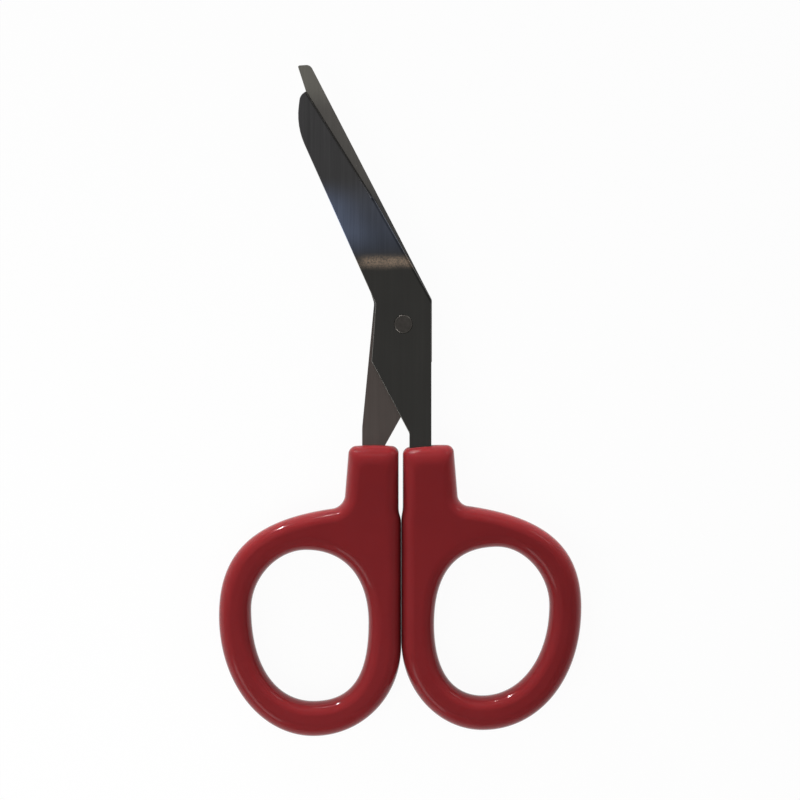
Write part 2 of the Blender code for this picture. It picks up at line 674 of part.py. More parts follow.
def main():
    remove_everything()
    steel = make_material("blade_steel", (0.16, 0.155, 0.15), 0.32, 1.0)
    plastic = make_material("red_plastic", (0.42, 0.025, 0.035), 0.18, 0.0, coat=0.4)

    front = front_blade_corners()
    rear = rear_blade_corners()
    left_side = side_path(LEFT)
    right_side = side_path(RIGHT)
    left_x = -max(point.x for point in left_side)
    right_x = max(point.x for point in right_side)
    low_y = min(point.y for point in left_side + right_side)
    high_y = max(point.y for point in rounded(rear) + rounded(front))
    pivot_at = (-(left_x + right_x) / 2, -(low_y + high_y) / 2, 0)

    # The fixed half hangs on one empty and the moving half on another, both on the rivet's axis
    fixed = bpy.data.objects.new("fixed_half", None)
    moving = bpy.data.objects.new("moving_half", None)
    for axis in (fixed, moving):
        axis.location = pivot_at
        bpy.context.scene.collection.objects.link(axis)

    beyond = REAR_TIP_Y + SHANK_WIDTH
    heel, tip, _, belly = front_places()
    front_spine = (FRONT_INNER_BEND, belly)
    front_edge = (FRONT_OUTER_BEND, heel)
    grind_start = heel + (tip - heel).normalized() * EDGE_GRIND_START
    front_grind = [
        edge_grind("front_edge_grind", grind_start, on_line(heel, tip, beyond), FRONT_INNER_Z, 1, moving),
        hollow_grind("front_hollow_grind", midway(front_spine, front_edge, HOLLOW_START_Y),
                     midway(front_spine, front_edge, beyond), FRONT_INNER_Z, 1, moving),
        rivet_bore("front_bore", moving, sunk=True),
        round_bar("front_anchor_hole", post_centre(FRONT_TANG_MIDDLE), ANCHOR_HOLE_RADIUS, moving),
    ]
    blade("front_blade", front, FRONT_INNER_Z, 1, front_grind, moving, steel)

    tip_left, tip_right = rear_tip()
    rear_edge = (REAR_INNER_BEND, tip_left)
    rear_spine = (OUTER_BEND, tip_right)
    rear_grind = [
        edge_grind("rear_edge_grind", on_line(*rear_edge, beyond),
                   on_line(*rear_edge, REAR_GRIND_END_Y), REAR_INNER_Z, -1, fixed),
        hollow_grind("rear_hollow_grind", midway(rear_edge, rear_spine, HOLLOW_START_Y),
                     midway(rear_edge, rear_spine, beyond), REAR_INNER_Z, -1, fixed),
        rivet_bore("rear_bore", fixed, sunk=False),
        round_bar("rear_anchor_hole", post_centre(REAR_TANG_MIDDLE), ANCHOR_HOLE_RADIUS, fixed),
    ]
    blade("rear_blade", rear, REAR_INNER_Z, -1, rear_grind, fixed, steel)
    rivet(fixed, steel)

    left_pocket = pocket("left_pocket", rear, REAR_INNER_Z, -1, REAR_TANG_MIDDLE, fixed)
    right_pocket = pocket("right_pocket", front, FRONT_INNER_Z, 1, FRONT_TANG_MIDDLE, moving)
    handle("left_handle", LEFT, [left_pocket], fixed, plastic)
    handle("right_handle", RIGHT, [right_pocket], moving, plastic)


main()
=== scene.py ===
# %% [markdown]
# # Angled bandage scissors
# A pair of small bandage scissors lies closed on a white table and is seen from straight above. Two flat
# steel blades turn on one peened rivet, and each blade has a moulded red plastic handle with a ring for
# the fingers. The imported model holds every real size. This script dresses it, one step at a time.

# %% Load the frame
import json
from math import cos, pi, radians, sin, tan

import bmesh
import bpy
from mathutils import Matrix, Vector
from mathutils.geometry import interpolate_bezier


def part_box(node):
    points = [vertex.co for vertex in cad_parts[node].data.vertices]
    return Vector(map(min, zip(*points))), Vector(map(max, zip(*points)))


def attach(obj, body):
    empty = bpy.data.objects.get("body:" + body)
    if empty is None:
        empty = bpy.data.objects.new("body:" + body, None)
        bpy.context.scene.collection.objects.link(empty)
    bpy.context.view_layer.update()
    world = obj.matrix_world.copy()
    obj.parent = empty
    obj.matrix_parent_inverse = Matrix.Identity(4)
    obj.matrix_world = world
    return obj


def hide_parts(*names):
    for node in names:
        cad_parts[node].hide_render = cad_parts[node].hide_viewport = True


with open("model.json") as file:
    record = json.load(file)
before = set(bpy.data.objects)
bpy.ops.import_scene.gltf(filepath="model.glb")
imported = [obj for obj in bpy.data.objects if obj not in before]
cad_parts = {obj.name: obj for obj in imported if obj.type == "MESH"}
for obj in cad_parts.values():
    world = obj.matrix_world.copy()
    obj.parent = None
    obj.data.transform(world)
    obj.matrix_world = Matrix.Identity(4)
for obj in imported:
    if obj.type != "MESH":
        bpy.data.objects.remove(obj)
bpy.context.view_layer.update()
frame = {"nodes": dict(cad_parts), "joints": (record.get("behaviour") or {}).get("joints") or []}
nodes = frame["nodes"]
PIVOT = Vector(frame["joints"][0]["pos_m"])
MM = 0.001

# %% [markdown]
# ## Shader maths as plain Python
# A procedural finish is a sum of small effects, and a sum is easier to read as `grain * 0.2 + 0.4` than
# as a row of boxes. `Value` wraps one output socket, so that Python's own operators add the Math nodes.

# %% A value in a material
class Value:
    """One output socket in a node tree. The operators on it add Math nodes."""

    def __init__(self, nodes, socket):
        self.nodes = nodes
        self.socket = socket

    def math(self, operation, *values):
        return self.nodes.node("ShaderNodeMath", {"operation": operation}, dict(enumerate(values)))

    def __add__(self, other):
        return self.math('ADD', self, other)

    def __sub__(self, other):
        return self.math('SUBTRACT', self, other)

    def __rsub__(self, other):
        return self.math('SUBTRACT', other, self)

    def __mul__(self, other):
        return self.math('MULTIPLY', self, other)

    def __abs__(self):
        return self.math('ABSOLUTE', self)

    def __pow__(self, other):
        return self.math('POWER', self, other)

    def larger(self, other):
        return self.math('MAXIMUM', self, other)

    def smaller(self, other):
        return self.math('MINIMUM', self, other)

    __radd__ = __add__
    __rmul__ = __mul__


print("values can be added, subtracted, multiplied and raised to a power")

# %% [markdown]
# Any other kind of node comes from one method, `node`. It belongs to a class of its own, because the
# world that lights the scene is a node tree as well.

# %% Nodes
class Nodes:
    """A node tree. `x`, `y` and `z` are a place on the object, or a direction in the world."""

    def __init__(self, tree, coordinate):
        self.tree = tree
        self.place = self.node("ShaderNodeTexCoord", output=coordinate)
        axes = self.node("ShaderNodeSeparateXYZ", inputs={"Vector": self.place}, output=None)
        self.x, self.y, self.z = (Value(self, socket) for socket in axes.outputs)

    def node(self, kind, settings=None, inputs=None, output=0):
        made = self.tree.nodes.new(kind)
        for name, value in (settings or {}).items():
            setattr(made, name, value)
        for key, value in (inputs or {}).items():
            self.feed(made.inputs[key], value)
        return made if output is None else Value(self, made.outputs[output])

    def feed(self, socket, value):
        if isinstance(value, Value):
            self.tree.links.new(value.socket, socket)
        else:
            socket.default_value = value

    def step(self, value, low, high):
        """0 below low, 1 above high, and smooth in between."""
        return self.node("ShaderNodeMapRange", {"interpolation_type": 'SMOOTHSTEP'}, {
            "Value": value, "From Min": low, "From Max": high})


print("nodes are added by one method")

# %% [markdown]
# `Finish` is one material. The few helpers in it are the words that every finish here is written in:
# soft noise, a band with soft ends, a mix of two colours, and relief in metres.

# %% A finish
class Finish(Nodes):
    """One material on the Principled shader, with varying inputs given as Values."""

    def __init__(self, name):
        self.material = bpy.data.materials.new(name)
        self.material.use_nodes = True
        self.shader = self.material.node_tree.nodes["Principled BSDF"]
        super().__init__(self.material.node_tree, "Object")

    def set(self, **inputs):
        for name, value in inputs.items():
            self.feed(self.shader.inputs[name.replace("_", " ")], value)

    def stretched(self, x=1.0, y=1.0, z=1.0):
        """The place on the object, stretched along each axis."""
        return self.node("ShaderNodeMapping", inputs={"Vector": self.place, "Scale": (x, y, z)})

    def noise(self, place, scale, detail=2.0, roughness=0.5):
        """Soft noise about 0, from -1 to 1."""
        field = self.node("ShaderNodeTexNoise", inputs={
            "Vector": place, "Scale": scale, "Detail": detail, "Roughness": roughness})
        return (field - 0.5) * 2.0

    def between(self, value, low, high, soft):
        """1 from low to high and 0 outside, with ends that fade over twice the soft length."""
        return self.step(value, low - soft, low + soft) * (1.0 - self.step(value, high - soft, high + soft))

    def mix(self, factor, first, second):
        return self.node("ShaderNodeMix", {"data_type": 'RGBA'}, {0: factor, 6: first, 7: second}, output=2)

    def shade(self, colour, factor):
        """A colour made lighter or darker. The Mix node lets a written colour, with its alpha, go in too."""
        even = self.mix(0.0, colour, colour)
        return self.node("ShaderNodeVectorMath", {"operation": 'SCALE'}, {0: even, "Scale": factor})

    def relief(self, height):
        """Bumps from a height in metres."""
        self.set(Normal=self.node("ShaderNodeBump", inputs={"Height": height, "Distance": 1.0}))


def linear(red, green, blue):
    """A colour as seen on a screen, from 0 to 255, in the renderer's linear light."""
    def channel(level):
        share = level / 255
        return share / 12.92 if share <= 0.04045 else ((share + 0.055) / 1.055) ** 2.4
    return (channel(red), channel(green), channel(blue), 1.0)


print("a middle grey is", round(linear(128, 128, 128)[0], 3), "in linear light")

# %% [markdown]
# ## The red plastic
# The handles are injection moulded in a deep red plastic. Three things make it look moulded and not
# painted: the colour drifts a little, as the pigment does in the melt, the surface has the faint
# waviness that is called orange peel, and a fine line runs round the middle of the edge, where the two
# halves of the mould met. Light goes a little way in, most of all the red part of it, and that keeps the
# shadows red.

# %% Red plastic
PLASTIC_RED = linear(128, 37, 40)
PLASTIC_DARK = linear(118, 34, 37)
PARTING_Z = sum(corner.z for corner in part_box("left_handle")) / 2
PARTING_HALF = 0.12 * MM
PARTING_HEIGHT = 0.02 * MM
DRIFTS_PER_METRE = 90.0
PEEL_PER_METRE = 700.0
PEEL_HEIGHT = 0.001 * MM
GRAINS_PER_METRE = 5200.0
GRAIN_HEIGHT = 0.0001 * MM
PLASTIC_ROUGHNESS = 0.1
PLASTIC_SPECULAR = 0.14
LIGHT_REACH = 1.5 * MM


def red_plastic():
    finish = Finish("red_plastic")
    drift = finish.noise(finish.place, DRIFTS_PER_METRE, detail=3.0)
    peel = finish.noise(finish.place, PEEL_PER_METRE, detail=1.0)
    grain = finish.noise(finish.place, GRAINS_PER_METRE)
    parting = 1.0 - finish.step(abs(finish.z - PARTING_Z), PARTING_HALF / 2, PARTING_HALF)
    colour = finish.mix(drift * 0.5 + 0.5, PLASTIC_DARK, PLASTIC_RED)
    finish.set(
        Base_Color=finish.shade(colour, grain * 0.03 + 1.0),
        Roughness=drift * 0.03 + grain * 0.01 + PLASTIC_ROUGHNESS,
        Specular_IOR_Level=PLASTIC_SPECULAR,
        Subsurface_Weight=0.3,
        Subsurface_Radius=(1.0, 0.2, 0.15),
        Subsurface_Scale=LIGHT_REACH,
    )
    finish.relief(peel * PEEL_HEIGHT + grain * GRAIN_HEIGHT + parting * PARTING_HEIGHT)
    return finish.material


plastic = red_plastic()
print("made", plastic.name)

# %% [markdown]
# ## The blade steel
# The blades are stamped from sheet and ground. The grinding leaves fine parallel lines, so the noise
# behind the colour, the roughness and the relief is stretched about a hundred times longer than it is wide.

# %% Brushed lines
LINES_PER_METRE = 5200.0
CLOUDS_PER_METRE = 160.0
LINE_DEPTH = 0.0005 * MM


def brushed(finish):
    """Two layers of long fine lines, from -1 to 1."""
    fine = finish.noise(finish.stretched(x=LINES_PER_METRE, y=60.0, z=300.0), 1.0, detail=3.0, roughness=0.6)
    broad = finish.noise(finish.stretched(x=LINES_PER_METRE / 5, y=30.0, z=300.0), 1.0)
    return fine * 0.7 + broad * 0.5


print("brushed lines are", round(1 / LINES_PER_METRE / MM, 2), "mm apart")

# %% [markdown]
# Where the front blade's grinding begins, just above the bend, a narrow band is matt and grainy, with a warm
# painted reflection laid on it. It fades near the blade's left side. Above it a blue painted reflection lies
# on the steel, strongest away from the cutting edge, with a darker blue one below it. The two straight lines
# of the ground edge meet at the heel, and a strip along them is darkened as painted shade. Most of these
# places are measured from the pivot.

# %% Places on the front blade
GRAIN_Y = PIVOT.y + 13.1 * MM
GRAIN_TILT = -0.03
GRAIN_HALF = 1.1 * MM
GRAIN_SOFT = 0.9 * MM
GRAIN_WANDER = 0.5 * MM
GRAIN_LEFT_X = -9.3 * MM
GRAIN_LEFT_SOFT = 2.4 * MM
SPECKS_PER_METRE = 2600.0
SPECK_HEIGHT = 0.001 * MM
# Where the blue painted reflection lies on the front blade.
BLUE_LOW_Y = PIVOT.y + 17.0 * MM
BLUE_TOP_Y = PIVOT.y + 28.0 * MM
BLUE_SOFT = 3.5 * MM
BLUE_FROM_EDGE = (2.0 * MM, 11.0 * MM)
BEND_X = PIVOT.x + 5.85 * MM
BEND_Y = PIVOT.y + 5.1 * MM
BEND_SLOPE = tan(radians(29.7))
HEEL_X = PIVOT.x - 6.13 * MM
HEEL_Y = PIVOT.y + 26.1 * MM
HEEL_SLOPE = tan(radians(32.0))
GROUND_EDGE = 0.75 * MM
# Painted shade: how much the colour along the ground edge is darkened, below and above the heel.
EDGE_SHADE_BELOW_HEEL = 0.46
EDGE_SHADE_ABOVE_HEEL = 0.75
print("the grainy band is", round((GRAIN_Y - PIVOT.y) / MM, 1), "mm above the pivot")

# %% [markdown]
# The colours are laid over each other, from the shank's dark grey over the blue painted reflections to the
# warm painted reflection on the grainy band. The brushed lines and the painted shade along the edge are
# shades over all of them.

# %% Front blade steel
STEEL = (0.32, 0.315, 0.32, 1.0)
SHANK_STEEL = (0.235, 0.23, 0.215, 1.0)
# Painted reflection: the blue and the darker blue stand in for reflections in the front blade's flat face.
BLUE_REFLECTION_STEEL = (0.55, 0.66, 0.95, 1.0)
DEEP_BLUE_REFLECTION_STEEL = (0.24, 0.26, 0.31, 1.0)
# Painted reflection: a warm tone laid over the band, which is really only matt and grainy.
GRAINY_REFLECTION_STEEL = (0.92, 0.70, 0.52, 1.0)
FRONT_ROUGHNESS = 0.3


def front_steel():
    finish = Finish("front_steel")
    lines = brushed(finish)
    cloud = finish.noise(finish.place, CLOUDS_PER_METRE, detail=3.0)
    grain = finish.noise(finish.place, SPECKS_PER_METRE, detail=3.0, roughness=0.7)
    along = finish.y + GRAIN_TILT * finish.x
    blade_side = finish.step(along, GRAIN_Y, GRAIN_Y + 3 * GRAIN_HALF)
    wandering = along + cloud * GRAIN_WANDER
    band = finish.between(wandering, GRAIN_Y - GRAIN_HALF, GRAIN_Y + GRAIN_HALF, GRAIN_SOFT)
    band = band * (finish.step(finish.x, GRAIN_LEFT_X, GRAIN_LEFT_X + GRAIN_LEFT_SOFT) * 0.8 + 0.2)
    below_heel = BEND_X - BEND_SLOPE * (finish.y - BEND_Y)
    above_heel = HEEL_X - HEEL_SLOPE * (finish.y - HEEL_Y)
    from_edge = below_heel.smaller(above_heel) - finish.x
    edge = 1.0 - finish.step(from_edge, GROUND_EDGE / 2, GROUND_EDGE)
    # Painted shade along the ground edge, where its bevel looks dark, stronger above the heel.
    edge_shade = finish.step(finish.y, HEEL_Y - MM, HEEL_Y) * (EDGE_SHADE_ABOVE_HEEL - EDGE_SHADE_BELOW_HEEL)
    edge_shade = edge_shade + EDGE_SHADE_BELOW_HEEL
    to_left = finish.step(from_edge, *BLUE_FROM_EDGE)
    blue = finish.between(along, BLUE_LOW_Y, BLUE_TOP_Y, BLUE_SOFT)
    brushing = lines * (blade_side * 0.2 + 0.1) + cloud * 0.06 + 1.0
    colour = finish.mix(blade_side, SHANK_STEEL, STEEL)
    # Painted reflection: a darker blue below the blue patch, then the blue patch, strongest away from the
    # edge.
    deep_blue = blade_side * (1.0 - finish.step(along, BLUE_LOW_Y, BLUE_TOP_Y))
    colour = finish.mix(deep_blue, colour, DEEP_BLUE_REFLECTION_STEEL)
    colour = finish.mix(blue * (to_left * 0.7 + 0.3), colour, BLUE_REFLECTION_STEEL)
    # Painted reflection: the warm tone over the grainy band, whose roughness and specks are real.
    colour = finish.mix(band * (grain * 1.3 + 0.66), colour, GRAINY_REFLECTION_STEEL)
    finish.set(
        Base_Color=finish.shade(colour, brushing * (1.0 - edge_shade * edge)),
        Metallic=1.0,
        Roughness=lines * 0.04 + band * 0.22 + FRONT_ROUGHNESS,
    )
    finish.relief(lines * LINE_DEPTH + band * grain * SPECK_HEIGHT)
    return finish.material


def dress(node, material):
    """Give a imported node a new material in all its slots."""
    mesh = nodes[node].data
    mesh.materials.clear()
    mesh.materials.append(material)


dress("front_blade", front_steel())
print("dressed front_blade")

# %% [markdown]
# Only a strip of the rear blade shows beside the front one, and its shank below. It is lighter than the
# front blade, lightest at its tip, and warmer where it goes down into the handle.

# %% Rear blade steel
REAR_TIP_STEEL = (0.80, 0.77, 0.68, 1.0)
REAR_STEEL = (0.55, 0.52, 0.48, 1.0)
REAR_DARK_STEEL = (0.37, 0.365, 0.35, 1.0)
REAR_SHANK_STEEL = (0.50, 0.42, 0.385, 1.0)
REAR_ROUGHNESS = 0.34


def rear_steel():
    finish = Finish("rear_steel")
    lines = brushed(finish)
    cloud = finish.noise(finish.place, CLOUDS_PER_METRE, detail=3.0)
    above = finish.y - PIVOT.y
    colour = finish.mix(finish.step(above, -2.0 * MM, 4.0 * MM), REAR_SHANK_STEEL, REAR_DARK_STEEL)
    colour = finish.mix(finish.step(above, 24.0 * MM, 31.0 * MM), colour, REAR_STEEL)
    colour = finish.mix(finish.step(above, 44.0 * MM, 50.0 * MM), colour, REAR_TIP_STEEL)
    finish.set(
        Base_Color=finish.shade(colour, lines * 0.14 + cloud * 0.06 + 1.0),
        Metallic=1.0,
        Roughness=lines * 0.04 + REAR_ROUGHNESS,
    )
    finish.relief(lines * LINE_DEPTH)
    return finish.material


dress("rear_blade", rear_steel())
print("dressed rear_blade")

# %% [markdown]
# ## The rivet
# The rivet's upper end is peened flush into the front blade: a flat disc with a rounded rim. Its lower
# head is a low dome. Both are one turned shape, so one profile is spun about the pivot's axis, with
# enough steps for the rim to shine as a ring.

# %% Rivet
RIVET_LOW, RIVET_HIGH = (corner.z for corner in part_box("pivot_rivet"))
RIVET_FACE = 1.9 * MM
RIVET_RIM = 0.3 * MM
RIVET_RIM_FALL = 0.2 * MM
RIVET_RIM_TURN = radians(50)
RIVET_RIM_POINTS = 8
RIVET_SHANK = 1.5 * MM
RIVET_SHANK_TOP = 0.5 * MM
RIVET_HEAD = 2.9 * MM
RIVET_HEAD_HEIGHT = 0.9 * MM
RIVET_HEAD_POINTS = 14
RIVET_STEPS = 72
RIVET_STEEL = (0.31, 0.285, 0.26, 1.0)
DENTS_PER_METRE = 1500.0
DENT_DEPTH = 0.003 * MM


def arc(centre, across, up, start, end, count):
    """Points on an ellipse's arc, between two angles from its highest point."""
    angles = [start + (end - start) * index / count for index in range(count + 1)]
    return [(centre[0] + across * sin(angle), centre[1] + up * cos(angle)) for angle in angles]


def finished(name, bm, material):
    """A piece from a bmesh, at the origin and shaded smooth."""
    mesh = bpy.data.meshes.new(name)
    bm.to_mesh(mesh)
    bm.free()
    mesh.shade_smooth()
    mesh.materials.append(material)
    piece = bpy.data.objects.new(name, mesh)
    bpy.context.scene.collection.objects.link(piece)
    return piece


def rivet(material):
    face_rim = arc((RIVET_FACE - RIVET_RIM, RIVET_HIGH - RIVET_RIM_FALL), RIVET_RIM, RIVET_RIM_FALL,
                   0, RIVET_RIM_TURN, RIVET_RIM_POINTS)
    head_top = RIVET_LOW + RIVET_HEAD_HEIGHT
    head = arc((0.0, head_top), RIVET_HEAD, RIVET_HEAD_HEIGHT, pi / 2, pi, RIVET_HEAD_POINTS)
    profile = [(0.0, RIVET_HIGH)] + face_rim
    profile += [(face_rim[-1][0], RIVET_HIGH - 2 * RIVET_RIM_FALL)]
    profile += [(RIVET_SHANK, RIVET_HIGH - RIVET_SHANK_TOP), (RIVET_SHANK, head_top)] + head
    bm = bmesh.new()
    line = [bm.verts.new((PIVOT.x + radius, PIVOT.y, z)) for radius, z in profile]
    edges = [bm.edges.new(pair) for pair in zip(line, line[1:])]
    bmesh.ops.spin(bm, geom=line + edges, cent=(PIVOT.x, PIVOT.y, 0), axis=(0, 0, 1), angle=2 * pi,
                   steps=RIVET_STEPS, use_merge=True)
    bmesh.ops.remove_doubles(bm, verts=bm.verts, dist=0.0001 * MM)
    bmesh.ops.recalc_face_normals(bm, faces=bm.faces)
    return finished("peened_rivet", bm, material)


def rivet_steel():
    finish = Finish("rivet_steel")
    hammered = finish.noise(finish.place, DENTS_PER_METRE, detail=2.0)
    finish.set(
        Base_Color=finish.shade(RIVET_STEEL, hammered * 0.2 + 1.0),
        Metallic=1.0,
        Roughness=hammered * 0.05 + 0.3,
    )
    finish.relief(hammered * DENT_DEPTH)
    return finish.material


rivet_piece = rivet(rivet_steel())
rivet_piece.data.set_sharp_from_angle(angle=radians(40))
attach(rivet_piece, "left_half")
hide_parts("pivot_rivet")
print(rivet_piece.name, len(rivet_piece.data.polygons), "faces")

# %% [markdown]
# ## The handles
# Each handle is one moulding: a ring with a round edge, and a straight neck that holds the blade's
# tang. A bevel can't make it, because the edge's rounding is wider than the neck's own corners and
# would cross itself there. So the form is built like a hill from its contour lines. The outline is
# drawn with a few curves, each contour is that outline moved inward a little further up, and
# `bridge_loops` skins one contour to the next.
#
# Where a size has several values, they go round the ring. `peaks` are the shares of the hole's width
# at which its top and its bottom lie, then the shares of its height at which its outer and its inner
# extremes lie. `fullness` tells how square its four corners are, from the outer top over the inner side
# to the outer bottom, and `ring_fullness` the same for the outside's two lower corners. `drop` is how
# much lower than the hole's the outside's outer and inner extremes are.

# %% Sizes of the handles
THICKNESS = 7.5 * MM
EDGE_ROUND = 2.9 * MM
HANDLE_GAP = 0.01 * MM
MEET_X = -0.45 * MM
NECK_END_Y = -25.2 * MM
NECK_END_ROUND = 4.2 * MM
NECK_END_ARCH = 0.3 * MM
NECK_CORNER = 1.4 * MM
NECK_END_SPARE = 0.8 * MM
NECK_STEP_LENGTH = 3.5 * MM
RING_TOP_SLOPE = 0.14
RING_TOP_FULLNESS = (0.53, 0.39)
CIRCLE_FULLNESS = 0.56
LONG_CURVE = 44
SHORT_CURVE = 14
LAYERS = 18

LEFT = {
    "side": -1, "hole_width": 24.45 * MM, "hole_height": 31.5 * MM, "hole_top": -47.1 * MM,
    "inner_wall": 6.83 * MM, "outer_wall": 6.75 * MM, "bottom_wall": 7.3 * MM, "top_wall": 9.0 * MM,
    "neck_width": 10.4 * MM, "neck_root": 11.93 * MM, "neck_step": 0.5 * MM, "crotch": 2.4 * MM,
    "end_tilt": 0.0, "peaks": (0.53, 0.47, 0.39, 0.48), "fullness": (0.53, 0.62, 0.69, 0.61),
    "drop": (1.4 * MM, 5.0 * MM), "ring_fullness": (0.56, 0.56),
}
RIGHT = {
    "side": 1, "hole_width": 24.0 * MM, "hole_height": 31.0 * MM, "hole_top": -46.45 * MM,
    "inner_wall": 6.88 * MM, "outer_wall": 6.72 * MM, "bottom_wall": 7.2 * MM, "top_wall": 8.85 * MM,
    "neck_width": 10.6 * MM, "neck_root": 11.93 * MM, "neck_step": 0.3 * MM, "crotch": 1.9 * MM,
    "end_tilt": radians(3.0), "peaks": (0.55, 0.42, 0.39, 0.52), "fullness": (0.52, 0.66, 0.64, 0.575),
    "drop": (0.5 * MM, 3.5 * MM), "ring_fullness": (0.58, 0.55),
}
print("two handles,", THICKNESS / MM, "mm thick")

# %% [markdown]
# A curve between two points needs only the corner that its ends aim at, and how far towards it they
# reach: 0.56 of the way gives a quarter of a circle, more gives a squarer turn.

# %% Curves
def curve(start, start_aim, end_aim, end, count):
    """Points along a Bezier curve, without its last one."""
    return [Vector(p) for p in interpolate_bezier(start, start_aim, end_aim, end, count + 1)[:-1]]


def quarter(start, corner, end, fullness, count):
    return curve(start, start.lerp(corner, fullness), end.lerp(corner, fullness), end, count)


def straight(start, end, count):
    return [start.lerp(end, index / count) for index in range(count)]


arch = quarter(Vector((0, 1)), Vector((1, 1)), Vector((1, 0)), CIRCLE_FULLNESS, 8)
print("a quarter of a circle is", round(arch[4].length, 3), "from its centre halfway, in", len(arch), "steps")

# %% [markdown]
# Both outlines are drawn about the rivet's axis, as the distance outward on the handle's own side and
# the height along the scissors. The finger hole is four quarter turns between its extremes.

# %% Outlines
def inner_side(h):
    return h["side"] * MEET_X + HANDLE_GAP / 2


def hole_outline(h):
    """The finger hole, clockwise from its outermost point."""
    high, low, out_level, in_level = h["peaks"]
    outer_top, inner_top, inner_bottom, outer_bottom = h["fullness"]
    near = inner_side(h) + h["inner_wall"]
    top = Vector((near + high * h["hole_width"], h["hole_top"]))
    bottom = Vector((near + low * h["hole_width"], h["hole_top"] - h["hole_height"]))
    outer = Vector((near + h["hole_width"], h["hole_top"] - out_level * h["hole_height"]))
    inner = Vector((near, h["hole_top"] - in_level * h["hole_height"]))
    return (quarter(outer, Vector((outer.x, bottom.y)), bottom, outer_bottom, LONG_CURVE)
            + quarter(bottom, Vector((inner.x, bottom.y)), inner, inner_bottom, LONG_CURVE)
            + quarter(inner, Vector((inner.x, top.y)), top, inner_top, LONG_CURVE)
            + quarter(top, Vector((outer.x, top.y)), outer, outer_top, LONG_CURVE))


def side_outline(h):
    """The outside from the neck's outer edge round the ring to its inner edge, clockwise."""
    near = inner_side(h)
    neck_near = near + h["neck_step"]
    hole_near = near + h["inner_wall"]
    straight_y = NECK_END_Y - NECK_END_ROUND - NECK_CORNER - NECK_END_SPARE
    neck_corner = Vector((neck_near + h["neck_width"], NECK_END_Y))
    root = Vector((near + h["neck_root"], h["hole_top"] + h["top_wall"]))
    up_neck = (neck_corner - root).normalized()
    down_ring = Vector((1, -RING_TOP_SLOPE)).normalized()
    neck_start = root + up_neck * ((straight_y - root.y) / up_neck.y)
    crotch_start = root + up_neck * h["crotch"]
    crotch_end = root + down_ring * h["crotch"]
    low, out_level, in_level = h["peaks"][1:]
    widest = Vector((hole_near + h["hole_width"] + h["outer_wall"],
                     h["hole_top"] - out_level * h["hole_height"] - h["drop"][0]))
    lowest = Vector((hole_near + low * h["hole_width"],
                     h["hole_top"] - h["hole_height"] - h["bottom_wall"]))
    inmost = Vector((near, h["hole_top"] - in_level * h["hole_height"] - h["drop"][1]))
    step_low = Vector((near, root.y - NECK_STEP_LENGTH))
    step_high = Vector((neck_near, root.y))
    neck_end = Vector((neck_near, straight_y))
    step_middle = (step_low.y + step_high.y) / 2
    span = (widest - crotch_end).length
    out_full, in_full = h["ring_fullness"]
    path = straight(neck_start, crotch_start, SHORT_CURVE)
    path += quarter(crotch_start, root, crotch_end, CIRCLE_FULLNESS, SHORT_CURVE)
    path += curve(crotch_end, crotch_end + down_ring * (RING_TOP_FULLNESS[0] * span),
                  widest + Vector((0, RING_TOP_FULLNESS[1] * span)), widest, LONG_CURVE)
    path += quarter(widest, Vector((widest.x, lowest.y)), lowest, out_full, LONG_CURVE)
    path += quarter(lowest, Vector((inmost.x, lowest.y)), inmost, in_full, LONG_CURVE)
    path += straight(inmost, step_low, SHORT_CURVE)
    path += curve(step_low, Vector((step_low.x, step_middle)), Vector((step_high.x, step_middle)),
                  step_high, SHORT_CURVE)
    path += straight(step_high, neck_end, SHORT_CURVE)
    return path + [neck_end]


print("outlines of", len(side_outline(LEFT)), "and", len(hole_outline(LEFT)), "points")

# %% [markdown]
# A contour higher up is the same outline moved inward. The neck's end falls back further than the sides
# move in, so its contours are closed by an end line of their own, with two rounded corners.

# %% Contours
def moved_in(path, inset, closed):
    """A clockwise path moved to its right. A hole's is moved by less than 0, which widens it."""
    count = len(path)
    moved = []
    for index, point in enumerate(path):
        before = path[index - 1] if closed or index else point
        after = path[(index + 1) % count] if closed or index < count - 1 else point
        way = (after - before).normalized()
        moved.append(point + Vector((way.y, -way.x)) * inset)
    return moved


def outer_contour(h, outline, inset, setback):
    """One closed contour of the outside: the side moved in, closed by the neck's end."""
    side = moved_in(outline, inset, closed=False)
    outer_way = (side[0] - side[1]).normalized()
    inner_way = (side[-1] - side[-2]).normalized()
    middle = inner_side(h) + h["neck_step"] + h["neck_width"] / 2

    def end_y(u):
        across = (u - middle) / (h["neck_width"] / 2)
        return NECK_END_Y - setback + tan(h["end_tilt"]) * (u - middle) - NECK_END_ARCH * across ** 2

    def on_side(start, way, drop):
        return start + way * ((end_y(start.x) - drop - start.y) / way.y)

    def on_end(u):
        return Vector((u, end_y(u)))

    inner_corner = on_side(side[-1], inner_way, 0)
    outer_corner = on_side(side[0], outer_way, 0)
    inner_top = on_end(inner_corner.x + NECK_CORNER)
    outer_top = on_end(outer_corner.x - NECK_CORNER)
    inner_low = on_side(side[-1], inner_way, NECK_CORNER)
    outer_low = on_side(side[0], outer_way, NECK_CORNER)
    end = [on_end(point.x) for point in straight(inner_top, outer_top, SHORT_CURVE)]
    return (side + quarter(inner_low, inner_corner, inner_top, CIRCLE_FULLNESS, SHORT_CURVE) + end
            + quarter(outer_top, outer_corner, outer_low, CIRCLE_FULLNESS, SHORT_CURVE) + [outer_low])


print("one contour has", len(outer_contour(LEFT, side_outline(LEFT), 0.0, 0.0)), "points")

# %% [markdown]
# The heights of the contours follow a quarter of an ellipse, closer together where the edge turns
# over, so the skin is smooth with few of them. The two flat faces are filled between their two loops.

# %% Mouldings
def closed_loop(bm, h, points, z):
    """A closed ring of edges at one height."""
    verts = [bm.verts.new((PIVOT.x + h["side"] * p.x, PIVOT.y + p.y, z)) for p in points]
    return [bm.edges.new((verts[index - 1], verts[index])) for index in range(len(verts))]


